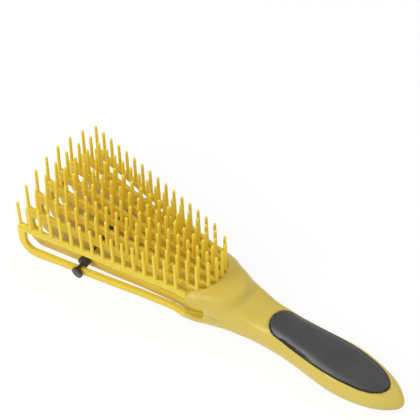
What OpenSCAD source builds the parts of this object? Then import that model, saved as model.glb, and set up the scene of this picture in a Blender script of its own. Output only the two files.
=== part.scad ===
// Detangling brush with eight flexible arms, a two-shell handle and a soft grip pad.
// The arms fan out from a root pin in the neck. Each arm is a slotted loop that carries
// one row of pins. A soft strand lies across the lower bars and keeps the arms apart.
// Drawn with X from the arm tips towards the handle, Y across, Z up, at rest on a table.

/* [Arms] */
// Number of arms in the fan
arm_count = 8; // [4:2:8]
// Thickness of an arm across the fan
arm_t = 2.4; // [1.8:0.1:2.6]
// Reach of the arms ahead of the neck
head_l = 111; // [95:0.5:125]
// Distance between neighbouring arms at their noses
tip_pitch = 9.85; // [8:0.05:12]
// Distance between neighbouring arms where they leave the neck
neck_pitch = 5; // [4.8:0.1:5.4]
// How far the outer noses lie below the middle of the crowned head
crown_drop = 8.6; // [2:0.1:10]
// Setting back of the outer noses from the middle ones
nose_set_back = 0.8; // [0:0.1:3]
// Height of the top rail that carries the pins
rail_h = 4; // [3.4:0.1:5]
// Height of the lower bar
bar_h = 4.2; // [3:0.1:5]
// Height of the whole loop next to the neck
loop_h = 21.6; // [19:0.1:23]
// Extra depth of every loop at its nose
nose_deep = 0.8; // [0:0.1:1.5]
// How far the middle undersides bow below a flat underside
under_bow = 1.4; // [0:0.1:2.5]
// Extra height of the middle top rails at the nose
rail_more = 2.4; // [0:0.1:3]
// How far the middle top lines sag at the nose, under pins that are longer by as much
top_sag = 1.6; // [0:0.1:2]
// Thickness of the nose along the arm
nose_t = 4.3; // [3:0.1:6]
// Length of the rounded underside of the nose
nose_round_l = 10.3; // [8:0.1:14]
// Height of the rounded underside of the nose
nose_round_h = 12.5; // [9:0.1:14]

/* [Pins] */
// Distance from the nose to the middle of the first pin
first_pin_inset = 1.9; // [1.4:0.1:3]
// Length of a pin above the top line of its arm
pin_l = 19.8; // [12:0.1:24]
// Diameter of a pin at its foot
pin_foot_d = 2.1; // [1.4:0.1:2.3]
// Diameter of a pin at its round tip
pin_tip_d = 1.7; // [1:0.1:1.8]
// Thickness of the strip that the pins grow from
strip_t = 1; // [0.6:0.1:1.4]
// Width of the strip across the fan
strip_w = 2.3; // [1.4:0.1:2.4]
// Rise of the strip under the first pin
hump_h = 1.6; // [0.5:0.1:2.5]

/* [Root] */
// Diameter of the root pin
root_pin_d = 3; // [2:0.1:4]
// Play between the root pin and a hub, measured on the radius
root_play = 0.05; // [0.02:0.01:0.1]
// Grip of the cheeks on the root pin, as the play that is left on the radius
cheek_play = 0.02; // [0.01:0.01:0.05]
// Radius of an arm's root hub
hub_r = 3.3; // [2.8:0.1:3.6]
// Width that a hub stands proud of its arm on each side
hub_face = 0.4; // [0.2:0.05:0.5]
// Running gap between neighbouring hubs
hub_gap = 0.25; // [0.15:0.05:0.3]
// Distance of the root pin behind the neck's front
root_x = 14; // [13:0.1:15]
// Depth of the root pin's ends in the cheeks
pin_bite = 1.1; // [0.6:0.1:1.2]
// Flex of an arm downwards at its root, in degrees
flex_down = 2.5; // [1:0.5:3]

/* [Handle] */
// Length of the handle behind the neck's front
handle_l = 127; // [115:1:140]
// Greatest width of the handle, at its belly
belly_w = 29.8; // [28:0.2:33]
// Depth of the handle's middle line below the crown
axis_z = 13.4; // [12.8:0.1:14]
// Depth of the underside below the crown, at the neck
belly_z = 25.2; // [24:0.2:27]
// Depth of the thumb dish below the crown
dish_z = 6; // [5:0.2:6.6]
// Wall of the shells
wall = 2; // [1.6:0.1:2.4]
// Roof of the neck over the arm roots
roof_t = 1.8; // [1.4:0.1:2.2]
// Gap between a moving arm and the shell beside it
arm_gap = 0.3; // [0.2:0.05:0.5]
// Seam between an arm's top and the edge of the neck's roof
seam = 0.2; // [0.12:0.02:0.4]
// Radius of the arc on which the gaps between the arms end
gap_arc_r = 17.5; // [16:0.5:20]
// Radius of the tongue's round end, in front of the thumb dish
tongue_r = 16; // [14:0.5:18]
// Distance of the tongue's end behind the neck's front
tongue_x = 23.9; // [22:0.1:27]
// Length of the slope from the tongue down into the thumb dish
tongue_run = 4.4; // [3:0.2:7]
// Depth of the flat on the underside where the handle rests
flat_depth = 0.5; // [0.3:0.1:0.8]

/* [Grip pad] */
// Distance of the pad's front end behind the neck's front
pad_x = 42.5; // [40:0.5:46]
// Length of the pad
pad_l = 74.5; // [66:0.5:78]
// Greatest width of the pad
pad_w = 23.2; // [20:0.2:25]
// Depth of the pad's seat below the crown
pad_seat_z = 7.8; // [7.6:0.1:8.2]
// Height of the pad's crown above the handle's back
pad_dome = 0.7; // [0.3:0.1:1.2]
// Height of the pad's rim above the handle's back
pad_rim = 0.15; // [0.05:0.05:0.4]
// Groove all round the pad
pad_groove = 0.2; // [0.1:0.05:0.5]

/* [Spacer strand] */
// Distance of the strand ahead of the neck's front
strand_x = 69; // [60:0.5:76]
// Diameter of the outer drums
drum_d = 6.5; // [5:0.1:8]
// Diameter of the drums between the inner arms
inner_drum_d = 3.2; // [3:0.1:8]
// Diameter of an end disc
disc_d = 6.8; // [5:0.1:8]
// Thickness of an end disc
disc_t = 1.4; // [1:0.1:3]
// Diameter of a neck between two drums
strand_neck_d = 2; // [1.6:0.1:3]
// Play between an arm and the drum beside it
drum_play = 0.85; // [0.5:0.05:1]
// Gap between a neck of the strand and the lower bar below it
strand_lift = 0.25; // [0.15:0.05:0.6]
// Distance of a drum's middle below the necks beside it
drum_sag = 1.6; // [0:0.1:2]
// Distance of an inner drum's middle below the necks beside it
inner_drum_sag = 0.5; // [0:0.1:1]
// Distance of an end disc's middle below the neck that it ends
disc_sag = 3.3; // [0:0.1:4]

/* [Case screws] */
// Diameter of a screw's shank
screw_d = 2.5; // [2:0.1:3]
// Length of a screw's shank
screw_l = 9; // [7:0.5:9]
// Diameter of a screw's head
screw_head_d = 4.8; // [4:0.1:5.2]
// Height of a screw's head
screw_head_h = 1.8; // [1.4:0.1:2.2]
// Depth of the screw heads' seats
screw_sink = 3.4; // [2.8:0.1:3.6]
// Clearance round a screw
screw_gap = 0.1; // [0.05:0.05:0.2]
// Wall of a screw boss
boss_wall = 1.2; // [1:0.1:1.6]

/* [Hidden] */

yellow = [0.85, 0.74, 0.34];
pin_yellow = [0.80, 0.66, 0.22];
pad_grey = [0.27, 0.28, 0.28];
strand_brown = [0.16, 0.13, 0.13];
steel = [0.70, 0.71, 0.72];
round_fn = 64;
pin_fn = 32;
boss_fn = 34;

// Lengths that only reach past a face to be cut
past = wall;
far = handle_l;

// The fan. Ahead of the bend an arm points at the apex. Behind the bend it runs along X.
// Behind the end of the gap beside it, it draws in to its hub.
outer_m = (arm_count - 1) / 2;
bend_share = 0.101;
bend_x = -bend_share * head_l;
fan_slope = (tip_pitch - neck_pitch) / (bend_x + head_l);
apex_x = bend_x + neck_pitch / fan_slope;
reach_nose = apex_x + head_l;
gap_apex_share = 0.0627;
gap_arc_x = gap_apex_share * handle_l - gap_arc_r;
front_share = 0.0175;
front_x = -front_share * handle_l;
hub_w = arm_t + 2 * hub_face;
hub_pitch = hub_w + hub_gap;
hub_front_x = root_x - hub_r;
hub_back_x = root_x + hub_r;
draw_lead_share = 0.5;

function arm_m(k) = k - 1 - outer_m;
function crown_at(m) = crown_drop * pow(m / outer_m, 2);
function set_back(m) = nose_set_back * pow(m / outer_m, 2);
function fan_angle(m) = atan(m * fan_slope);
function dip_angle(m) = atan(crown_at(m) / reach_nose);
function gap_end_x(m) = max(front_x, gap_arc_x + sqrt(max(0, pow(gap_arc_r, 2) - pow(m * neck_pitch, 2))));
function draw_x(m) = gap_end_x(m) - draw_lead_share * arm_t;
function clamp01(v) = min(1, max(0, v));
function ease(v) = let (c = clamp01(v)) c * c * (3 - 2 * c);
function mix(a, b, v) = a + (b - a) * v;
function path_y(m, x) = x < bend_x ? m * (neck_pitch + fan_slope * (bend_x - x))
    : m * mix(neck_pitch, hub_pitch, clamp01((x - draw_x(m)) / (hub_front_x - draw_x(m))));

// The loop in side view. Reach is measured from the apex towards the nose, height from
// the arm's own top line.
under_shares = [[0.36, 1], [0.471, 1], [0.51, 0.95], [0.55, 0.932], [0.63, 0.932],
                [0.72, 0.975], [0.87, 1.01], [0.949, 1.045]];
slot_floor_shares = [[0.97, 0.81], [0.87, 0.81], [0.72, 0.775], [0.63, 0.738], [0.55, 0.738],
                     [0.51, 0.75], [0.471, 0.76]];
arc_steps = 8;
function arc_points(c, rx, rz, from, to) = [for (i = [0 : arc_steps])
    let (a = mix(from, to, i / arc_steps)) [c[0] + rx * cos(a), c[1] + rz * sin(a)]];
nose_shoulder_share = 0.17;
nose_shoulder = nose_shoulder_share * nose_round_h;
slot_round = nose_round_l - nose_t;
function reach_of(m, x) = (apex_x - x) / cos(fan_angle(m));
// Shares of the middle arms' own gains, and of the way from the neck to the nose
under_from_share = 0.18;
top_from_share = 0.5;
function inner_share(m) = 1 - pow(m / outer_m, 2);
function way(r, from) = clamp01((r / reach_nose - from) / (1 - from));
function under_extra(m, r) = (nose_deep + (crown_drop + under_bow) * inner_share(m)) * way(r, under_from_share);
function rail_low(m, r) = rail_h + rail_more * inner_share(m) * way(r, under_from_share);
function top_low(m, r) = top_sag * inner_share(m) * way(r, top_from_share);
function slot_extra(r) = nose_deep * way(r, under_from_share);
function under_nose_z(m) = -under_shares[7][1] * loop_h - under_extra(m, reach_nose);
function nose_centre(m) = [reach_nose - nose_round_l, under_nose_z(m) + nose_round_h];
slot_nose_z = -loop_h * 0.8 - nose_deep;
slot_back_share = 0.073;
slot_back_x = slot_back_share * handle_l;
slot_end_r = (loop_h - rail_h - bar_h) / 2.6;

// Profiles run from the handle end over the top to the nose and back along the underside
pin_line = reach_nose - first_pin_inset;
top_from = top_from_share * reach_nose;
hub_under_share = 0.93;
back_lean = 1.1 * arm_t;
function nose_top(m) = arc_points([pin_line, -nose_shoulder - top_low(m, pin_line)], first_pin_inset,
    nose_shoulder + hump_h, 90, 0);
function loop_outline(m) = let (back = reach_of(m, hub_back_x - 0.5 * arm_t), seat = -strip_t - top_low(m, pin_line)) concat(
    [[back + back_lean, -hub_under_share * loop_h - under_extra(m, back)], [back, -root_z], [back, -strip_t],
     [top_from, -strip_t]],
    [[pin_line, seat]],
    [for (p = nose_top(m)) if (p[1] < seat) p],
    arc_points(nose_centre(m), nose_round_l, nose_round_h, 0, -90),
    [for (i = [len(under_shares) - 2 : -1 : 1]) let (r = under_shares[i][0] * reach_nose)
        [r, -under_shares[i][1] * loop_h - under_extra(m, r)]]);
function slot_floor(s) = -s[1] * loop_h - slot_extra(s[0] * reach_nose);
function slot_outline(m) = let (
        back = reach_of(m, slot_back_x), end = back + slot_end_r, nose = reach_nose - nose_t,
        floor_z = slot_floor([back / reach_nose, slot_floor_shares[6][1]]))
    concat(
    [[nose, -rail_low(m, nose) - top_low(m, nose)]],
    arc_points([nose - slot_round, slot_nose_z + slot_round], slot_round, slot_round, 0, -90),
    [for (s = slot_floor_shares) if (s[0] * reach_nose < nose_centre(m)[0] - slot_round)
        [s[0] * reach_nose, slot_floor(s)]],
    arc_points([end, floor_z + slot_end_r], slot_end_r, slot_end_r, 270, 180),
    arc_points([end, -rail_low(m, end) - slot_end_r], slot_end_r, slot_end_r, 180, 90),
    [[top_from, -rail_low(m, top_from)]]);
hump_run = 4.5 * first_pin_inset;
hump_steps = 6;
function strip_outline(m) = let (seat = -strip_t - top_low(m, pin_line)) concat(
    [[top_from, -strip_t], [reach_of(m, hub_back_x), -strip_t], [reach_of(m, hub_back_x), 0], [top_from, 0]],
    [for (i = [0 : hump_steps]) let (r = pin_line - hump_run * (1 - i / hump_steps))
        [r, hump_h * ease(i / hump_steps) - top_low(m, r)]],
    [for (p = nose_top(m)) if (p[1] > seat && p[1] < hump_h * 0.99 - top_low(m, pin_line)) p],
    [[reach_nose - first_pin_inset * 0.12, seat], [pin_line, seat]]);

// The rows end just ahead of the neck's roof, so the middle arms carry more pins
pin_counts = [19, 18, 18, 16];
function pins_in_row(m) = pin_counts[floor(abs(m))];
function last_pin_x(m) = gap_arc_x
    + sqrt(max(0, pow(gap_arc_r - 1.5 * seam - pin_foot_d / 2, 2) - pow(m * neck_pitch, 2)));
function last_pin_reach(m) = reach_of(m, last_pin_x(m)) + set_back(m);
function pin_reach(m, j) = mix(reach_nose - first_pin_inset, last_pin_reach(m), (j - 1) / (pins_in_row(m) - 1));

module at_rest() {
    translate([-centre_x, 0, -floor_z])
        rotate([0, rest_tilt, 0])
            children();
}

module along_arm(m) {
    translate([apex_x, 0, 0])
        rotate([0, 0, -fan_angle(m)])
            rotate([0, -dip_angle(m), 0])
                translate([set_back(m), 0, 0])
                    children();
}

// Draws a side profile as a plate that is wide enough for the bends in the arm's plan
module profile(points) {
    rotate([90, 0, 0])
        linear_extrude(4 * arm_t, center = true)
            mirror([1, 0])
                polygon(points);
}

module plan_strip(m, w) {
    xs = [-head_l - past, bend_x, draw_x(m), hub_front_x, hub_back_x + past];
    halves = [for (x = xs) x > bend_x ? w / 2 : w / 2 / cos(fan_angle(m))];
    translate([0, 0, -far / 2])
        linear_extrude(far)
            polygon(concat([for (i = [0 : 4]) [xs[i], path_y(m, xs[i]) + halves[i]]],
                           [for (i = [4 : -1 : 0]) [xs[i], path_y(m, xs[i]) - halves[i]]]));
}

// The space that the neck's roof fills, with the seam ahead of it
module roof_space() {
    difference() {
        translate([front_x - seam, -far / 2, -far / 2])
            cube([far, far, far]);
        translate([gap_arc_x, 0, -far])
            cylinder(h = 2 * far, r = gap_arc_r - seam, $fn = round_fn);
    }
}

roof_room = 4.4 * arm_gap;

module arm(m) {
    hub_spot = [root_x, m * hub_pitch, -root_z];
    at_rest()
        difference() {
            union() {
                difference() {
                    intersection() {
                        plan_strip(m, arm_t);
                        along_arm(m)
                            difference() {
                                profile(loop_outline(m));
                                profile(slot_outline(m));
                            }
                    }
                    intersection() {
                        roof_space();
                        along_arm(m)
                            translate([-far, -far / 2, -roof_t - roof_room])
                                cube([far, far, far]);
                    }
                }
                translate(hub_spot)
                    rotate([90, 0, 0])
                        cylinder(h = hub_w, r = hub_r, center = true, $fn = round_fn);
            }
            translate(hub_spot)
                rotate([90, 0, 0])
                    cylinder(h = far, r = root_pin_d / 2 + root_play, center = true, $fn = round_fn);
        }
}

tip_steps = 4;
module one_pin(foot, top) {
    tip_r = pin_tip_d / 2;
    translate([0, 0, foot])
        rotate_extrude($fn = pin_fn)
            polygon(concat([[0, 0], [pin_foot_d / 2, 0]],
                [for (i = [0 : tip_steps]) let (a = 90 * i / tip_steps)
                    [tip_r * cos(a), top - foot - tip_r + tip_r * sin(a)]]));
}

module pin_row(m) {
    at_rest()
        union() {
            difference() {
                intersection() {
                    plan_strip(m, strip_w);
                    along_arm(m)
                        profile(strip_outline(m));
                }
                roof_space();
            }
            along_arm(m)
                for (j = [1 : pins_in_row(m)])
                    translate([-pin_reach(m, j), path_offset(m, pin_reach(m, j)), 0])
                        one_pin(-0.8 * strip_t - top_low(m, pin_reach(m, j)), pin_l);
        }
}
// Sideways step from the fan's straight line to the arm's own line
function path_offset(m, r) = let (x = apex_x - (r - set_back(m)) * cos(fan_angle(m)))
    (path_y(m, x) - m * fan_slope * (apex_x - x)) * cos(fan_angle(m));

// Handle

neck_half_w = outer_m * neck_pitch + 0.875 * arm_t;
neck_shares = [[-0.026, 1], [0.032, 0.95], [0.0635, 0.878], [0.095, 0.824], [0.127, 0.777],
               [0.159, 0.729], [0.19, 0.692], [0.222, 0.67]];
grip_shares = [[0.27, 0.832], [0.317, 0.805], [0.381, 0.799], [0.444, 0.812], [0.508, 0.846],
               [0.571, 0.899], [0.635, 0.96], [0.698, 1], [0.762, 0.963], [0.825, 0.879],
               [0.873, 0.812], [0.913, 0.752], [0.944, 0.691], [1, 0.503]];
plan = concat([for (s = neck_shares) [s[0] * handle_l, s[1] * neck_half_w]],
              [for (s = grip_shares) [s[0] * handle_l, s[1] * belly_w / 2]]);
back_shares = [[-0.026, 0.77], [0.159, 0.78], [0.238, 0.9], [0.286, 1], [0.333, 0.867], [0.381, 0.767],
               [0.698, 0.733], [0.825, 0.817], [0.913, 0.93], [1, 1.08]];
back_line = [for (s = back_shares) [s[0] * handle_l, -s[1] * dish_z]];
under_line_shares = [[-0.026, 1.004], [0.0635, 0.99], [0.198, 0.97], [0.357, 0.952], [0.516, 0.938],
                     [0.698, 0.909], [0.794, 0.889], [0.873, 0.829], [0.937, 0.766], [1, 0.714]];
under_line = [for (s = under_line_shares) [s[0] * handle_l, -s[1] * belly_z]];
mid_shares = [[-0.026, 1.149], [0.127, 1.149], [0.19, 1.112], [0.317, 1.06], [0.476, 1], [1, 1]];
mid_line = [for (s = mid_shares) [s[0] * handle_l, -s[1] * axis_z]];
square_shares = [[-0.026, 14], [0.032, 10], [0.0635, 8], [0.127, 5], [0.19, 4.2], [0.286, 3],
                 [0.42, 2.4], [1, 2.4]];
square_line = [for (s = square_shares) [s[0] * handle_l, s[1]]];
room_square_shares = [[-0.026, 20], [0.143, 20], [0.2, 5], [0.27, 3], [1, 3]];
room_square_line = [for (s = room_square_shares) [s[0] * handle_l, s[1]]];
room_top_shares = [[-0.026, 0.9], [0.175, 0.93], [0.23, 0.98], [0.29, 1.22], [1, 1.22]];
room_top_line = [for (s = room_top_shares) [s[0] * handle_l, -s[1] * pad_seat_z]];
end_round_share = 0.2;
end_round = end_round_share * handle_l;
end_power = 2.3;

function find_row(t, x, i = 0) = i >= len(t) - 2 || x < t[i + 1][0] ? i : find_row(t, x, i + 1);
function row_slope(t, i) = let (a = max(0, i - 1), b = min(len(t) - 1, i + 1))
    (t[b][1] - t[a][1]) / (t[b][0] - t[a][0]);
function curve(t, x) = let (
        i = find_row(t, x), w = t[i + 1][0] - t[i][0], u = clamp01((x - t[i][0]) / w),
        p = t[i][1], q = t[i + 1][1], s = row_slope(t, i) * w, e = row_slope(t, i + 1) * w)
    p * (2 * pow(u, 3) - 3 * u * u + 1) + s * (pow(u, 3) - 2 * u * u + u)
    + q * (3 * u * u - 2 * pow(u, 3)) + e * (pow(u, 3) - u * u);
function line(t, x) = let (i = find_row(t, x), u = clamp01((x - t[i][0]) / (t[i + 1][0] - t[i][0])))
    mix(t[i][1], t[i + 1][1], u);
function end_cap(x) = x < handle_l - end_round ? 1
    : pow(max(0, 1 - pow(max(0, x - handle_l + end_round) / end_round, end_power)), 1 / end_power);
function mid_z(x) = line(mid_line, x);
function under_z(x) = curve(under_line, x);
root_z = -mid_z(root_x);
function neck_crown(x) = crown_drop * max(0, apex_x - x) / reach_nose;

// Directions round half a section, closer together at the shoulders
quarter_turn = [0, 9, 18, 27, 34, 40, 45, 50, 56, 63, 72, 81, 90];
half_turn = concat(quarter_turn, [for (i = [11 : -1 : 0]) 180 - quarter_turn[i]]);
half_n = len(half_turn);
function ray(n, t) = pow(pow(abs(cos(t)), n) + pow(abs(sin(t)), n), -1 / n);

function tongue_at(x, y) = ease((tongue_r - norm([x - tongue_x + tongue_r, y])) / tongue_run + 0.5);
function tongue_share(x, y) = x < tongue_x - tongue_r ? 1 : tongue_at(x, y);
function skin_point(x, t, side) = let (
        n = line(square_line, x), cap = end_cap(x), d = ray(n, t), mid = mid_z(x),
        y = curve(plan, x) * cap * d * cos(t), v = d * sin(t),
        grip = mid + (curve(back_line, x) - mid) * cap * v,
        neck = mid + v * (-mid - neck_crown(x) * pow(y / (outer_m * neck_pitch), 2)))
    [x, y, side > 0 ? mix(grip, neck, tongue_share(x, y)) : mid - (mid - under_z(x)) * cap * v];

// The hollow inside the shells
room_run = 1.6 * wall;
function arm_room(x) = path_y(outer_m, x) + 0.54 * arm_t + arm_gap
    + hub_face * ease((x - hub_front_x) / wall + 1);
function room_half(x) = x < hub_back_x ? arm_room(x)
    : mix(arm_room(hub_back_x), curve(plan, x) * end_cap(x + wall) - wall, clamp01((x - hub_back_x) / room_run));
function ceiling(x, y) = mix(-roof_t - neck_crown(x) * pow(y / path_y(outer_m, x), 2),
    line(room_top_line, x), ease((x - hub_back_x) / room_run));
function room_point(x, t, side) = let (
        n = line(room_square_line, x), d = ray(n, t), mid = mid_z(x), cap = end_cap(x + wall),
        y = room_half(x) * d * cos(t), v = d * sin(t))
    [x, y, side > 0 ? mid + v * (ceiling(x, y) - mid) * cap : mid - v * (mid - under_z(x) - wall) * cap];

// Stations along the handle, closer together on the tongue's slope and at the round end
function run(a, b, n) = [for (i = [0 : n - 1]) mix(a, b, i / n)];
slope_from = tongue_x - 0.65 * tongue_r;
slope_to = tongue_x + 1.6 * tongue_run;
end_turn = [0, 14, 28, 40, 50, 60, 69, 77, 83, 87];
stations = concat(run(front_x, slope_from, 6), run(slope_from, slope_to, 14),
    run(slope_to, handle_l - end_round, 14), [for (a = end_turn) handle_l - end_round * (1 - sin(a))]);
room_end = len(stations) - 6;

// The brush lies on its middle noses and on the flat under the handle
belly_share = 0.7;
belly_x = belly_share * handle_l;
belly_low = -under_z(belly_x);
function spot(m, p) = let (r = p[0] - set_back(m), d = dip_angle(m), f = fan_angle(m),
    run = r * cos(d) + p[1] * sin(d)) [apex_x - run * cos(f), p[1] * cos(d) - r * sin(d)];
inner_m = outer_m - floor(outer_m);
low_spot = spot(inner_m, [nose_centre(inner_m)[0], under_nose_z(inner_m)]);
rest_tilt = atan((-belly_low + flat_depth - low_spot[1]) / (belly_x - low_spot[0]));
function world_z(p) = -p[0] * sin(rest_tilt) + p[1] * cos(rest_tilt);
function world_x(p) = p[0] * cos(rest_tilt) + p[1] * sin(rest_tilt);
floor_z = min([for (k = [1 : arm_count]) for (p = loop_outline(arm_m(k))) world_z(spot(arm_m(k), p))]);
nose_world_x = min([for (p = loop_outline(inner_m)) world_x(spot(inner_m, p))]);
end_world_x = max([for (p = half_ring(stations[len(stations) - 1], 1)) world_x([p[0], p[2]])]);
centre_x = (nose_world_x + end_world_x) / 2;

function half_ring(x, side) = [for (t = half_turn) skin_point(x, t, side)];
function room_ring(x, side) = [for (t = half_turn) room_point(x, t, side)];
function pair(a, b, c, d, side) = side > 0 ? [[a, b, c], [a, c, d]] : [[a, c, b], [a, d, c]];

// One hollow half of the handle, closed at the parting face and at the round end
module half_shell(side) {
    n = half_n;
    count = len(stations);
    outer = [for (x = stations) each half_ring(x, side)];
    inner = [for (i = [0 : room_end]) each room_ring(stations[i], side)];
    base = count * n;
    skin = [for (i = [0 : count - 2]) for (j = [0 : n - 2])
        each pair(i * n + j, i * n + j + 1, (i + 1) * n + j + 1, (i + 1) * n + j, -side)];
    hollow = [for (i = [0 : room_end - 1]) for (j = [0 : n - 2])
        each pair(base + i * n + j, base + i * n + j + 1, base + (i + 1) * n + j + 1,
                  base + (i + 1) * n + j, side)];
    front = [for (j = [0 : n - 2]) each pair(j, base + j, base + j + 1, j + 1, -side)];
    rims = [for (i = [0 : room_end - 1]) each concat(
        pair(i * n, (i + 1) * n, base + (i + 1) * n, base + i * n, -side),
        pair(i * n + n - 1, base + i * n + n - 1, base + (i + 1) * n + n - 1, (i + 1) * n + n - 1, -side))];
    last = room_end * n;
    hollow_end = [for (j = [1 : n - 2])
        side < 0 ? [base + last, base + last + j + 1, base + last + j]
                 : [base + last, base + last + j, base + last + j + 1]];
    tail_front = concat(
        pair(last, last + n, last + 2 * n - 1, base + last, -side),
        pair(base + last, last + 2 * n - 1, last + n - 1, base + last + n - 1, -side));
    tail = [for (i = [room_end + 1 : count - 2])
        each pair(i * n, (i + 1) * n, (i + 1) * n + n - 1, i * n + n - 1, -side)];
    tail_end = [for (j = [1 : n - 2])
        side < 0 ? [(count - 1) * n, (count - 1) * n + j, (count - 1) * n + j + 1]
                 : [(count - 1) * n, (count - 1) * n + j + 1, (count - 1) * n + j]];
    polyhedron(points = concat(outer, inner),
               faces = concat(skin, hollow, front, rims, hollow_end, tail_front, tail, tail_end),
               convexity = 8);
}

// The open window beside the arm roots, cut through both cheeks
window_x_share = 0.069;
window_x = window_x_share * handle_l;
window_top = [-0.365 * belly_z, -0.415 * belly_z];
window_floor = -0.765 * belly_z;
module window() {
    side_r = (window_top[1] - window_floor) / 2;
    rotate([90, 0, 0])
        linear_extrude(far, center = true)
            polygon(concat(
                [[front_x - past, window_floor], [window_x - side_r / 2, window_floor]],
                arc_points([window_x - side_r / 2, window_floor + side_r], side_r / 2, side_r, -80, 80),
                [[window_x - side_r / 2, window_top[1]], [front_x - past, window_top[0]]]));
}

module root_bore(r) {
    translate([root_x, 0, -root_z])
        rotate([90, 0, 0])
            cylinder(h = 2 * root_pin_half, r = r, center = true, $fn = round_fn);
}
root_pin_half = arm_room(root_x) + pin_bite;

screw_x_shares = [0.207, 0.8335];
screw_y_share = 0.255;
screw_spots = [[screw_x_shares[0] * handle_l, screw_y_share * belly_w],
               [screw_x_shares[0] * handle_l, -screw_y_share * belly_w],
               [screw_x_shares[1] * handle_l, 0]];
boss_r = screw_head_d / 2 + screw_gap + boss_wall;
boss_gap = 0.3 * boss_wall;
function screw_seat(s) = under_z(s[0]) + screw_sink;

module upper_shell() {
    color(yellow)
        minkowski()
            at_rest()
                difference() {
                    union() {
                        half_shell(1);
                        for (s = screw_spots)
                            translate([s[0], s[1], mid_z(s[0]) + boss_gap])
                                cylinder(h = line(room_top_line, s[0]) - mid_z(s[0]) - boss_gap + 0.4 * wall,
                                         r = screw_d / 2 + boss_wall + screw_gap, $fn = boss_fn);
                    }
                    translate([gap_arc_x, 0, -root_z / 2])
                        cylinder(h = far, r = gap_arc_r, $fn = 2 * round_fn);
                    window();
                    root_bore(root_pin_d / 2 + cheek_play);
                    pad_well();
                    for (s = screw_spots)
                        translate([s[0], s[1], screw_seat(s)])
                            cylinder(h = screw_l + screw_gap, r = screw_d / 2 + screw_gap, $fn = boss_fn);
                }
}

module lower_shell() {
    floor_ledge = 0.3 * arm_gap;
    floor_xs = [front_x - past, draw_x(outer_m), hub_front_x - wall, hub_front_x, hub_back_x + 0.3 * wall];
    color(yellow)
        minkowski()
            difference() {
                at_rest()
                    difference() {
                        union() {
                            half_shell(-1);
                            for (s = screw_spots)
                                translate([s[0], s[1], screw_seat(s) - 0.6 * screw_sink])
                                    cylinder(h = mid_z(s[0]) - boss_gap - screw_seat(s) + 0.6 * screw_sink,
                                             r = boss_r, $fn = boss_fn);
                        }
                        window();
                        root_bore(root_pin_d / 2 + cheek_play);
                        translate([0, 0, -far])
                            linear_extrude(far - root_z - hub_r)
                                polygon(concat(
                                    [for (x = floor_xs) [x, room_half(x) - floor_ledge]],
                                    [for (i = [4 : -1 : 0]) [floor_xs[i], floor_ledge - room_half(floor_xs[i])]]));
                        for (s = screw_spots) {
                            translate([s[0], s[1], screw_seat(s) - far])
                                cylinder(h = far, r = screw_head_d / 2 + screw_gap, $fn = boss_fn);
                            translate([s[0], s[1], screw_seat(s) - past])
                                cylinder(h = far / 4, r = screw_d / 2 + screw_gap, $fn = boss_fn);
                        }
                    }
                translate([-far, -far, -far])
                    cube([2 * far, 2 * far, far]);
            }
}

// Grip pad
pad_front_round = 0.121 * pad_l;
pad_back_round = 0.215 * pad_l;
pad_end = pad_x + pad_l;
pad_shares = [[0, 0.78], [0.14, 0.8], [0.21, 0.845], [0.37, 0.931], [0.46, 0.974], [0.6, 1],
              [0.69, 0.966], [0.8, 0.87], [0.9, 0.82], [1, 0.8]];
pad_line = [for (s = pad_shares) [pad_x + s[0] * pad_l, s[1] * pad_w / 2]];
function pad_cap(x) = x < pad_x + pad_front_round
    ? pow(max(0, 1 - pow((pad_x + pad_front_round - x) / pad_front_round, 2.2)), 1 / 2.2)
    : x > pad_end - pad_back_round
    ? sqrt(max(0, 1 - pow((x - pad_end + pad_back_round) / pad_back_round, 2))) : 1;
function pad_half(x) = curve(pad_line, x) * pad_cap(x);
pad_turn = [3, 10, 20, 30, 40, 52, 65, 78];
pad_stations = concat([for (a = pad_turn) pad_x + pad_front_round * (1 - cos(a))],
    run(pad_x + pad_front_round, pad_end - pad_back_round, 14),
    [for (a = pad_turn) pad_end - pad_back_round * (1 - sin(a))], [pad_end - pad_back_round * (1 - sin(86))]);
function back_z(x, y) = let (n = line(square_line, x), mid = mid_z(x), share = clamp01(abs(y) / curve(plan, x) / end_cap(x)))
    mid + (curve(back_line, x) - mid) * end_cap(x) * pow(1 - pow(share, n), 1 / n);
across = [-1, -0.96, -0.86, -0.72, -0.54, -0.36, -0.18, 0, 0.18, 0.36, 0.54, 0.72, 0.86, 0.96, 1];

module grip_pad() {
    n = len(across);
    count = len(pad_stations);
    top = [for (x = pad_stations) for (s = across) [x, s * pad_half(x), max(2 * pad_rim - pad_seat_z,
        back_z(x, s * pad_half(x)) + mix(pad_rim, pad_dome, ease(2.5 * (1 - abs(s)))))]];
    low = [for (x = pad_stations) for (s = across) [x, s * pad_half(x), -pad_seat_z]];
    base = count * n;
    faces = concat(
        [for (i = [0 : count - 2]) for (j = [0 : n - 2])
            each pair(i * n + j, i * n + j + 1, (i + 1) * n + j + 1, (i + 1) * n + j, 1)],
        [for (i = [0 : count - 2])
            [base + i * n, base + (i + 1) * n, base + (i + 1) * n + n - 1, base + i * n + n - 1]],
        [for (i = [0 : count - 2]) each concat(
            pair(i * n, (i + 1) * n, base + (i + 1) * n, base + i * n, 1),
            pair(i * n + n - 1, base + i * n + n - 1, base + (i + 1) * n + n - 1, (i + 1) * n + n - 1, 1))],
        [concat([for (j = [n - 1 : -1 : 0]) j], [base, base + n - 1])],
        [concat([for (j = [0 : n - 1]) (count - 1) * n + j],
                [base + (count - 1) * n + n - 1, base + (count - 1) * n])]);
    color(pad_grey)
        at_rest()
            polyhedron(points = concat(top, low), faces = faces, convexity = 4);
}

module pad_well() {
    translate([0, 0, -pad_seat_z])
        linear_extrude(far)
            offset(delta = pad_groove)
                polygon(concat([for (x = pad_stations) [x, pad_half(x)]],
                               [for (i = [len(pad_stations) - 1 : -1 : 0])
                                   [pad_stations[i], -pad_half(pad_stations[i])]]));
}

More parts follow.
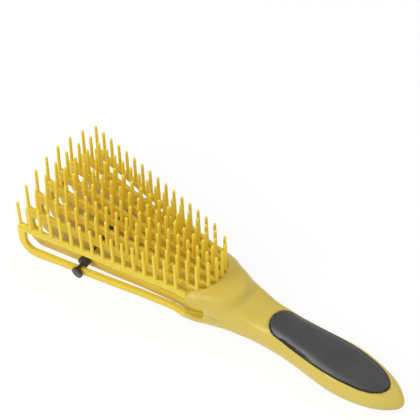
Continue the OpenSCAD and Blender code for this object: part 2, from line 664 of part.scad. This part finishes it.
module root_pin() {
    color(steel)
        at_rest()
            translate([root_x, 0, -root_z])
                rotate([90, 0, 0])
                    cylinder(h = 2 * root_pin_half - cheek_play, r = root_pin_d / 2, center = true, $fn = round_fn);
}

module case_screws() {
    color(steel)
        at_rest()
            for (s = screw_spots)
                translate([s[0], s[1], screw_seat(s)])
                    difference() {
                        union() {
                            cylinder(h = screw_l, r = screw_d / 2, $fn = round_fn);
                            translate([0, 0, -screw_head_h])
                                cylinder(h = screw_head_h, r = screw_head_d / 2, $fn = round_fn);
                        }
                        for (a = [0, 90])
                            rotate([0, 0, a])
                                translate([-0.3 * screw_head_d, -0.09 * screw_head_d, -screw_head_h - past])
                                    cube([0.6 * screw_head_d, 0.18 * screw_head_d, past + 0.55 * screw_head_h]);
                    }
}

// Spacer strand. Its necks lie just above the lower bars, its drums fill the gaps.
function bar_top(m) = let (s = reach_of(m, -strand_x) / reach_nose) slot_floor([s, line(slot_up_shares, s)]);
slot_up_shares = [for (i = [len(slot_floor_shares) - 1 : -1 : 0]) slot_floor_shares[i]];
function neck_z(m) = spot(m, [reach_of(m, -strand_x), bar_top(m)])[1] + strand_lift + strand_neck_d / 2;
function side_play(m) = arm_t / 2 / cos(fan_angle(m)) + drum_play;

module strand_part(y0, y1, z, d) {
    translate([-strand_x, y0, z])
        rotate([-90, 0, 0])
            cylinder(h = y1 - y0, r = d / 2, $fn = round_fn);
}

module spacer_strand() {
    bite = 0.3 * strand_neck_d;
    color(strand_brown)
        at_rest()
            union() {
                for (k = [1 : arm_count]) {
                    y = path_y(arm_m(k), -strand_x);
                    strand_part(y - side_play(arm_m(k)) - bite, y + side_play(arm_m(k)) + bite,
                                neck_z(arm_m(k)), strand_neck_d);
                }
                for (k = [1 : arm_count - 1]) {
                    m = arm_m(k);
                    outer = k == 1 || k == arm_count - 1;
                    strand_part(path_y(m, -strand_x) + side_play(m), path_y(m + 1, -strand_x) - side_play(m + 1),
                                (neck_z(m) + neck_z(m + 1)) / 2 - (outer ? drum_sag : inner_drum_sag),
                                outer ? drum_d : inner_drum_d);
                }
                for (s = [-1, 1]) {
                    y = s * (path_y(outer_m, -strand_x) + side_play(outer_m) + disc_t / 2);
                    strand_part(y - disc_t / 2, y + disc_t / 2, neck_z(outer_m) - disc_sag, disc_d);
                    translate([-strand_x, y, neck_z(outer_m) - disc_sag])
                        cylinder(h = disc_sag + strand_neck_d / 2, r = strand_neck_d / 2, $fn = round_fn);
                }
            }
}

upper_shell();
lower_shell();
grip_pad();
root_pin();
case_screws();
spacer_strand();
color(yellow) arm(arm_m(1));  // arm_1
color(yellow) arm(arm_m(2));  // arm_2
color(yellow) arm(arm_m(3));  // arm_3
color(yellow) arm(arm_m(4));  // arm_4
color(yellow) arm(arm_m(5));  // arm_5
color(yellow) arm(arm_m(6));  // arm_6
color(yellow) arm(arm_m(7));  // arm_7
color(yellow) arm(arm_m(8));  // arm_8
color(pin_yellow) pin_row(arm_m(1));  // pin_row_1
color(pin_yellow) pin_row(arm_m(2));  // pin_row_2
color(pin_yellow) pin_row(arm_m(3));  // pin_row_3
color(pin_yellow) pin_row(arm_m(4));  // pin_row_4
color(pin_yellow) pin_row(arm_m(5));  // pin_row_5
color(pin_yellow) pin_row(arm_m(6));  // pin_row_6
color(pin_yellow) pin_row(arm_m(7));  // pin_row_7
color(pin_yellow) pin_row(arm_m(8));  // pin_row_8
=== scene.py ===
# %% [markdown]
# Detangling brush, dressed for its picture
#
# The construction model gives every solid of the brush at its true size: two handle
# shells, a grip pad, a root pin, three screws, a rubber strand, eight slotted arms and
# eight rows of pins. This lesson turns those solids into pieces that look moulded. One
# could model each shape again, but then it would no longer fit its neighbours. So each
# piece starts as a copy of its solid, and gets the rounded edges, soft shading and
# finish that the plain solid lacks.

# %% Load the solids
import bpy
from math import radians
from mathutils import Matrix, Vector


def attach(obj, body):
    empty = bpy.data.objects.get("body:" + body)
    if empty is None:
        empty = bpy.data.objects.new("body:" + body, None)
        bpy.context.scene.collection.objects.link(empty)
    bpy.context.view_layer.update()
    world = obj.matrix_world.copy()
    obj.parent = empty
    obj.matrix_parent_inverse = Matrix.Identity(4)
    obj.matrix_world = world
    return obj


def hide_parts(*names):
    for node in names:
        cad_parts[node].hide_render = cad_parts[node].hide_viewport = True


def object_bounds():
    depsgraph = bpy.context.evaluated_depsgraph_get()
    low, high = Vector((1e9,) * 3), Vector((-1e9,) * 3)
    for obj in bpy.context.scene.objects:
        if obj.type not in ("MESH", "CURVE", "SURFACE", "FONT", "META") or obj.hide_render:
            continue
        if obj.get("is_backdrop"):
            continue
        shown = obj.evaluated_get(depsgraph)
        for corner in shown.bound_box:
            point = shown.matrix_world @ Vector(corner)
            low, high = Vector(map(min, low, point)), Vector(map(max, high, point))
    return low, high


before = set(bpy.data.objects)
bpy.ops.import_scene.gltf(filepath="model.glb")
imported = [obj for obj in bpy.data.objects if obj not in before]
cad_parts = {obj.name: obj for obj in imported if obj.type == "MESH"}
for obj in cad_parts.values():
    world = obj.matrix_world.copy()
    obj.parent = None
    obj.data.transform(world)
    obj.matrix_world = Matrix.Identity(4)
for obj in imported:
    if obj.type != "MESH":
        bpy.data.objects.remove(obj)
size_before = [list(corner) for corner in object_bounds()]
print("solids loaded:", len(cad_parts), "size in mm:",
      [round(1000 * (b - a), 1) for a, b in zip(*size_before)])

# %% [markdown]
# The camera
#
# The picture was taken with a long lens from above the handle's near side, so the
# brush shows almost no perspective. The camera could be aimed by eye, but its place was
# worked out from points on the brush, such as the noses of the arms and the end of the
# handle. Three directions set it: where the picture's right side, its top and its back
# point to.

# %% Camera
camera_place = Vector((0.48198, -0.56465, 0.97903))
picture_right = Vector((0.79199, 0.60880, -0.04561)).normalized()
picture_back = Vector((0.41634, -0.48390, 0.76969)).normalized()
picture_top = picture_back.cross(picture_right).normalized()
picture_right = picture_top.cross(picture_back)

sensor_width, focal_length = 36, 192.99
nearest, farthest = 0.05, 20

lens_data = bpy.data.cameras.new("long_lens")
lens_data.sensor_width, lens_data.lens = sensor_width, focal_length
lens_data.clip_start, lens_data.clip_end = nearest, farthest
camera = bpy.data.objects.new("camera", lens_data)
bpy.context.scene.collection.objects.link(camera)
camera.matrix_world = Matrix((
    (picture_right.x, picture_top.x, picture_back.x, camera_place.x),
    (picture_right.y, picture_top.y, picture_back.y, camera_place.y),
    (picture_right.z, picture_top.z, picture_back.z, camera_place.z),
    (0, 0, 0, 1)))
bpy.context.scene.camera = camera
bpy.context.scene.view_settings.view_transform = "Standard"
print("camera is", round(camera_place.length, 3), "m from the middle of the brush")

# %% [markdown]
# Writing a finish as arithmetic
#
# A finish is a tree of nodes. Joining nodes one by one hides the idea behind a long
# list of links. Here a small class wraps one socket, so that adding, multiplying or
# comparing two of them adds the Math node for it. A second class makes any other node
# from its type, its settings and its inputs.

# %% Shader helpers
class Amount:
    """A number that varies over a surface: one output socket with arithmetic."""

    def __init__(self, finish, socket):
        self.finish, self.socket = finish, socket

    def combined(self, operation, other=0.0):
        return self.finish.node("ShaderNodeMath", {"operation": operation}, {0: self, 1: other})

    def __add__(self, other):
        return self.combined("ADD", other)

    def __mul__(self, other):
        return self.combined("MULTIPLY", other)

    def __abs__(self):
        return self.combined("ABSOLUTE")

    def or_larger(self, other):
        return self.combined("MAXIMUM", other)


class Finish:
    """One material, with short calls for its nodes."""

    def __init__(self, name, **constants):
        self.material = bpy.data.materials.new(name)
        self.material.use_nodes = True
        self.tree = self.material.node_tree
        self.shader = self.tree.nodes["Principled BSDF"]
        for socket, value in constants.items():
            self.shader.inputs[socket.replace("_", " ")].default_value = value
        self.place = self.node("ShaderNodeTexCoord", out="Object")

    def node(self, kind, settings=None, inputs=None, out=0):
        made = self.tree.nodes.new(kind)
        for name, value in (settings or {}).items():
            setattr(made, name, value)
        for name, value in (inputs or {}).items():
            if isinstance(value, Amount):
                self.tree.links.new(value.socket, made.inputs[name])
            else:
                made.inputs[name].default_value = value
        return Amount(self, made.outputs[out])

    def noise(self, grains_per_metre, detail=2.0, stretch=(1, 1, 1), roughness=0.5):
        spot = self.node("ShaderNodeMapping", inputs={"Vector": self.place, "Scale": stretch})
        return self.node("ShaderNodeTexNoise", inputs={
            "Vector": spot, "Scale": grains_per_metre, "Detail": detail, "Roughness": roughness})

    def window(self, value, low, high, to_low=0.0, to_high=1.0):
        return self.node("ShaderNodeMapRange", inputs={
            "Value": value, "From Min": low, "From Max": high,
            "To Min": to_low, "To Max": to_high})

    def blend(self, share, first, second):
        sockets = {0: share, 6: first, 7: second}
        return self.node("ShaderNodeMix", {"data_type": "RGBA"}, sockets, out=2)

    def feed(self, socket, value):
        self.tree.links.new(value.socket, self.shader.inputs[socket])

    def bump(self, height, depth, strength=1.0):
        self.feed("Normal", self.node("ShaderNodeBump", inputs={
            "Height": height, "Distance": depth, "Strength": strength}))


def srgb(red, green, blue):
    """A colour as seen on a screen, from 0 to 255, turned into light."""
    steps = [step / 255 for step in (red, green, blue)]
    light = [c / 12.92 if c <= 0.04045 else ((c + 0.055) / 1.055) ** 2.4 for c in steps]
    return (*light, 1.0)


print("shader helpers ready")

# %% [markdown]
# Moulded yellow plastic
#
# The shells and arms are injection-moulded in one warm yellow. Real moulded plastic is
# never one flat colour: the tone drifts slightly where the melt cooled, the steel mould
# leaves a very fine grain, and handling polishes some places. Three sizes of noise in
# the object's own coordinates give drift, polish and grain, so nothing slides when a
# piece moves. The arms and pins are thin and let some light through, so they glow a
# little more than the shells. Their yellow is also painted lighter than the shells':
# painted light that lifts the shade between the arms, as all are the same plastic.

# %% Yellow plastic
drift_grains, flow_grains, polish_grains = 14, 60, 220
mould_grains, ripple_grains, mould_depth = 2600, 90, 0.00012
light_reach, reach_by_colour = 0.004, (1.0, 0.88, 0.25)


def moulded(name, body, deeper, dullness, glow, gloss):
    finish = Finish(name, IOR=1.49, Specular_IOR_Level=gloss, Subsurface_Weight=glow,
                    Subsurface_Scale=light_reach, Subsurface_Radius=reach_by_colour)
    drift = finish.noise(drift_grains, detail=3)
    flow = finish.noise(flow_grains, detail=2, stretch=(0.25, 1, 1))
    tone = finish.window(drift * 0.7 + flow * 0.3, 0.35, 0.65)
    finish.feed("Base Color", finish.blend(tone, deeper, body))
    polish = finish.noise(polish_grains, detail=4, roughness=0.6)
    finish.feed("Roughness", finish.window(polish, 0.3, 0.7, dullness - 0.05, dullness + 0.07))
    grain = finish.noise(mould_grains, detail=1)
    ripple = finish.noise(ripple_grains, detail=1)
    finish.bump(grain * 0.35 + ripple, mould_depth, 0.35)
    return finish.material


shell_plastic = moulded("yellow_shell_plastic", srgb(224, 199, 90), srgb(216, 190, 78),
                        dullness=0.34, glow=0.1, gloss=0.5)
# The arm and pin colours are painted lighter than the shell's: painted light for their shaded
# sides.
arm_painted_light_plastic = moulded("yellow_arm_painted_light_plastic", srgb(245, 218, 80), srgb(241, 211, 68),
                      dullness=0.42, glow=0.2, gloss=0.3)
pin_painted_light_plastic = moulded("yellow_pin_painted_light_plastic", srgb(250, 223, 82), srgb(246, 215, 68),
                      dullness=0.4, glow=0.3, gloss=0.35)
print("plastics:", shell_plastic.name, arm_painted_light_plastic.name, pin_painted_light_plastic.name)

# %% [markdown]
# Rubber and steel
#
# The grip pad is a smooth rubber with a soft sheen. Its rim gets a duller, darker
# rubber, which is painted shade for the groove round the pad. The strand is denser, and
# its end discs are a lighter grey with a bluish tint: the lightness is painted light on
# their lit faces, over the strand's own dark brown. All three could share one finish,
# but they differ in colour, sheen and grain, so one function takes those as values. The
# pin and screws are plain steel, drawn to a fine grain along their length.

# %% Rubber and steel
bloom_grains, rub_grains = 35, 120
disc_inner_face, disc_outer_face = 0.0318, 0.0326


def rubber(name, body, worn, dullness, grains, depth, painted_lit_disc_colour=None):
    finish = Finish(name, IOR=1.5)
    bloom = finish.window(finish.noise(bloom_grains, detail=4, roughness=0.6), 0.38, 0.68)
    colour = finish.blend(bloom, body, worn)
    # The end discs are painted a lighter, bluish grey: painted light on their lit faces.
    if painted_lit_disc_colour:
        across = finish.node("ShaderNodeSeparateXYZ", inputs={0: finish.place}, out=1)
        painted_lit_disc_share = finish.window(abs(across), disc_inner_face, disc_outer_face)
        colour = finish.blend(painted_lit_disc_share, colour, painted_lit_disc_colour)
    finish.feed("Base Color", colour)
    rub = finish.noise(rub_grains, detail=3)
    finish.feed("Roughness", finish.window(rub, 0.3, 0.7, dullness - 0.06, dullness + 0.06))
    finish.bump(finish.noise(grains, detail=2), depth, 0.5)
    return finish.material


pad_rubber = rubber("grip_pad_rubber", srgb(61, 62, 60), srgb(70, 71, 69),
                    dullness=0.34, grains=1700, depth=0.00004)
# A darker, duller rubber for the pad's rim: painted shade for the groove round the pad.
rim_painted_shade_rubber = rubber("grip_pad_rim_painted_shade_rubber", srgb(26, 27, 27), srgb(34, 35, 35),
                        dullness=0.6, grains=1700, depth=0.00004)
# The strand's end discs get a lighter, bluish grey, which is painted light on their lit faces.
strand_rubber = rubber("strand_rubber", srgb(56, 46, 38), srgb(66, 56, 48),
                       dullness=0.42, grains=2200, depth=0.00006, painted_lit_disc_colour=srgb(88, 93, 101))

steel = Finish("drawn_steel", Metallic=1.0)
drawn = steel.noise(900, detail=3, stretch=(0.12, 1, 1))
steel.feed("Base Color", steel.blend(drawn, srgb(168, 170, 172), srgb(198, 199, 200)))
steel.feed("Roughness", steel.window(drawn, 0.3, 0.7, 0.26, 0.4))
steel.bump(drawn, 0.00002, 0.3)
print("rubbers and steel ready:", pad_rubber.name, rim_painted_shade_rubber.name, strand_rubber.name,
      steel.material.name)

# %% [markdown]
# From a solid to a moulded piece
#
# No moulded edge is sharp: the tool that cut the mould leaves a small radius, and that
# thin line of light along each edge is what makes plastic look real. The copy of a solid
# is loose triangles, so its points are merged first, flat faces are joined into one, and
# a Bevel modifier then rounds only the edges that turn by more than a set angle. Shading
# by angle keeps the small facets of curved faces from showing.

# %% Piece maker
weld_distance = 0.000002
flat_angle = 0.4
rounding_steps = 2


def select_only(piece):
    bpy.ops.object.select_all(action="DESELECT")
    piece.select_set(True)
    bpy.context.view_layer.objects.active = piece


def moulded_copy(node, name, material, body, edge=0.0, edge_angle=35,
                 smooth_angle=32, flatten=True):
    piece = bpy.data.objects.new(name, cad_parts[node].data.copy())
    bpy.context.scene.collection.objects.link(piece)
    piece.data.materials.clear()
    piece.data.materials.append(material)
    select_only(piece)
    bpy.ops.object.mode_set(mode="EDIT")
    bpy.ops.mesh.select_all(action="SELECT")
    bpy.ops.mesh.remove_doubles(threshold=weld_distance)
    if flatten:
        bpy.ops.mesh.dissolve_limited(angle_limit=radians(flat_angle))
    bpy.ops.object.mode_set(mode="OBJECT")
    if edge:
        bpy.ops.object.modifier_add(type="BEVEL")
        rounding = piece.modifiers[-1]
        rounding.width, rounding.segments = edge, rounding_steps
        rounding.limit_method, rounding.angle_limit = "ANGLE", radians(edge_angle)
        rounding.miter_outer = "MITER_ARC"
        bpy.ops.object.modifier_apply(modifier=rounding.name)
    bpy.ops.object.shade_smooth_by_angle(angle=radians(smooth_angle))
    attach(piece, body)
    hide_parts(node)
    return piece


print("piece maker ready")

# %% [markdown]
# The handle
#
# The handle is two shells that meet on a level line. Their curved skins come from many
# small faces, so shading them by angle is enough to make them look smooth, and no bevel
# is put on the thin slivers beside the pad's well and the gaps.

# %% Shells
for half in ("upper_shell", "lower_shell"):
    shell = moulded_copy(half, f"{half}_skin", shell_plastic, "handle",
                         flatten=False, smooth_angle=38)
    print(shell.name, "has", len(shell.data.polygons), "faces")

# %% [markdown]
# The arms and their pins
#
# Each arm is a slotted loop with one row of pins. Its edges are rounded by about a third
# of a millimetre, which catches the light along the rails as in the picture. The pins
# could be turned anew, but they are round already, so a row only needs smooth shading.

# %% Arms and pin rows
arm_count, arm_edge = 8, 0.00035
arm_faces = 0
for number in range(1, arm_count + 1):
    body = f"arm_{number}"
    arm = moulded_copy(body, f"{body}_loop", arm_painted_light_plastic, body, edge=arm_edge)
    row = moulded_copy(f"pin_row_{number}", f"pin_row_{number}_pins", pin_painted_light_plastic,
                       body, flatten=False, smooth_angle=40)
    arm_faces += len(arm.data.polygons) + len(row.data.polygons)
print("arms and pins:", arm_faces, "faces")

# %% [markdown]
# The rubber pieces
#
# The grip pad is moulded into its well with a fine groove round it, and its rim is
# rounder than any plastic edge. The strand lies across the lower bars: soft drums sit
# in the gaps, and a flat disc ends it on each side. Rubber edges are rounded by more
# than half a millimetre, because a sharp edge in rubber would not come out of its mould.
# The rim of the pad drops into the groove. The top is inset by a little over half a
# millimetre, and the ring that this leaves is painted darker and duller: painted shade
# for the groove, which draws the thin outline that sets the pad off from the plastic.

# %% Pad and strand
pad_edge, strand_edge, painted_shade_ring_width, upright = 0.0007, 0.0006, 0.0006, 0.6
pad = moulded_copy("grip_pad", "grip_pad_cushion", pad_rubber, "handle",
                   edge=pad_edge, edge_angle=50, smooth_angle=50, flatten=False)
# The rim faces get the painted shade rubber; the inset top keeps the pad's own rubber.
pad.data.materials.append(rim_painted_shade_rubber)
for face in pad.data.polygons:
    face.material_index = 1
    face.select = face.normal.z > upright
select_only(pad)
bpy.ops.object.mode_set(mode="EDIT")
bpy.ops.mesh.select_mode(type="FACE")
bpy.ops.mesh.inset(thickness=painted_shade_ring_width, use_even_offset=False)
pad.active_material_index = 0
bpy.ops.object.material_slot_assign()
bpy.ops.object.mode_set(mode="OBJECT")
strand = moulded_copy("spacer_strand", "spacer_strand_rubber", strand_rubber,
                      "strand", edge=strand_edge, edge_angle=50, smooth_angle=45)
print("pad and strand:", len(pad.data.polygons), "and", len(strand.data.polygons), "faces")

# %% [markdown]
# The steel pieces
#
# The root pin and the screws hardly show, but they are real fasteners: turned and
# rolled, with a small chamfer. They keep their shape and get the rounding and finish.

# %% Steel
for fastener, chamfer in (("root_pin", 0.0002), ("case_screws", 0.0001)):
    made = moulded_copy(fastener, f"{fastener}_steel", steel.material, "handle",
                        edge=chamfer)
    print(made.name, "has", len(made.data.polygons), "faces")

# %% [markdown]
# Floor, light and background
#
# The brush lies on a pale table in front of white. A floor that is lit to pure white
# would need more light than the brush can stand, so for the camera, glossy and
# transmission rays most of the floor's light is its own, and the rest shows the shadow.
# One wide soft lamp comes from the near left, a weaker one from the far right, and both
# look at the middle of the brush.

# %% Floor
floor_size, own_share, own_strength = 6, 0.85, 1.04
bpy.ops.object.select_all(action="DESELECT")
bpy.ops.mesh.primitive_plane_add(size=floor_size, location=(0, 0, 0))
floor = bpy.context.object
floor.name = "floor"
table = Finish("pale_floor", Roughness=0.9, Base_Color=(0.86, 0.86, 0.86, 1))
camera_ray, glossy_ray, clear_ray = (
    table.node("ShaderNodeLightPath", out=f"Is {kind} Ray")
    for kind in ("Camera", "Glossy", "Transmission"))
seen = camera_ray.or_larger(glossy_ray).or_larger(clear_ray)
own_light = table.node("ShaderNodeEmission", inputs={"Strength": own_strength})
mixed = table.node("ShaderNodeMixShader", inputs={
    0: seen * own_share, 1: Amount(table, table.shader.outputs[0]), 2: own_light})
surface = table.tree.nodes["Material Output"].inputs["Surface"]
table.tree.links.new(mixed.socket, surface)
floor.data.materials.append(table.material)
floor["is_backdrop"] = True
print("floor is", floor_size, "m wide")

# %% White room
room_light, white_behind = 0.64, 1.0
world = bpy.data.worlds.new("white_room")
bpy.context.scene.world = world
world.use_nodes = True
room = world.node_tree
soft, white = room.nodes["Background"], room.nodes.new("ShaderNodeBackground")
for background, strength in ((soft, room_light), (white, white_behind)):
    background.inputs["Color"].default_value = (1, 1, 1, 1)
    background.inputs["Strength"].default_value = strength
ray, pick = room.nodes.new("ShaderNodeLightPath"), room.nodes.new("ShaderNodeMixShader")
room.links.new(ray.outputs["Is Camera Ray"], pick.inputs[0])
room.links.new(soft.outputs[0], pick.inputs[1])
room.links.new(white.outputs[0], pick.inputs[2])
room.links.new(pick.outputs[0], room.nodes["World Output"].inputs["Surface"])
print("room light is", room_light)


# %% Lamps
def soft_lamp(name, place, size, watts):
    data = bpy.data.lights.new(name, "AREA")
    data.shape, data.size, data.energy = "SQUARE", size, watts
    lamp = bpy.data.objects.new(name, data)
    bpy.context.scene.collection.objects.link(lamp)
    aim = (-Vector(place)).to_track_quat("-Z", "Y")
    lamp.matrix_world = Matrix.Translation(place) @ aim.to_matrix().to_4x4()
    print(name, "gives", watts, "W")


soft_lamp("near_left_lamp", (-0.55, -1.0, 1.05), size=0.7, watts=9)
soft_lamp("far_right_lamp", (0.7, 0.9, 1.1), size=0.9, watts=2)

# %% [markdown]
# The size, before and after
#
# The dressed brush must keep the size of its solids. Both boxes are measured, and the
# largest change between them is printed.

# %% Finish
size_after = [list(corner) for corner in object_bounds()]
change = max(abs(a - b) for p, q in zip(size_before, size_after) for a, b in zip(p, q))
print("the box changed by at most", round(1000 * change, 3), "mm")
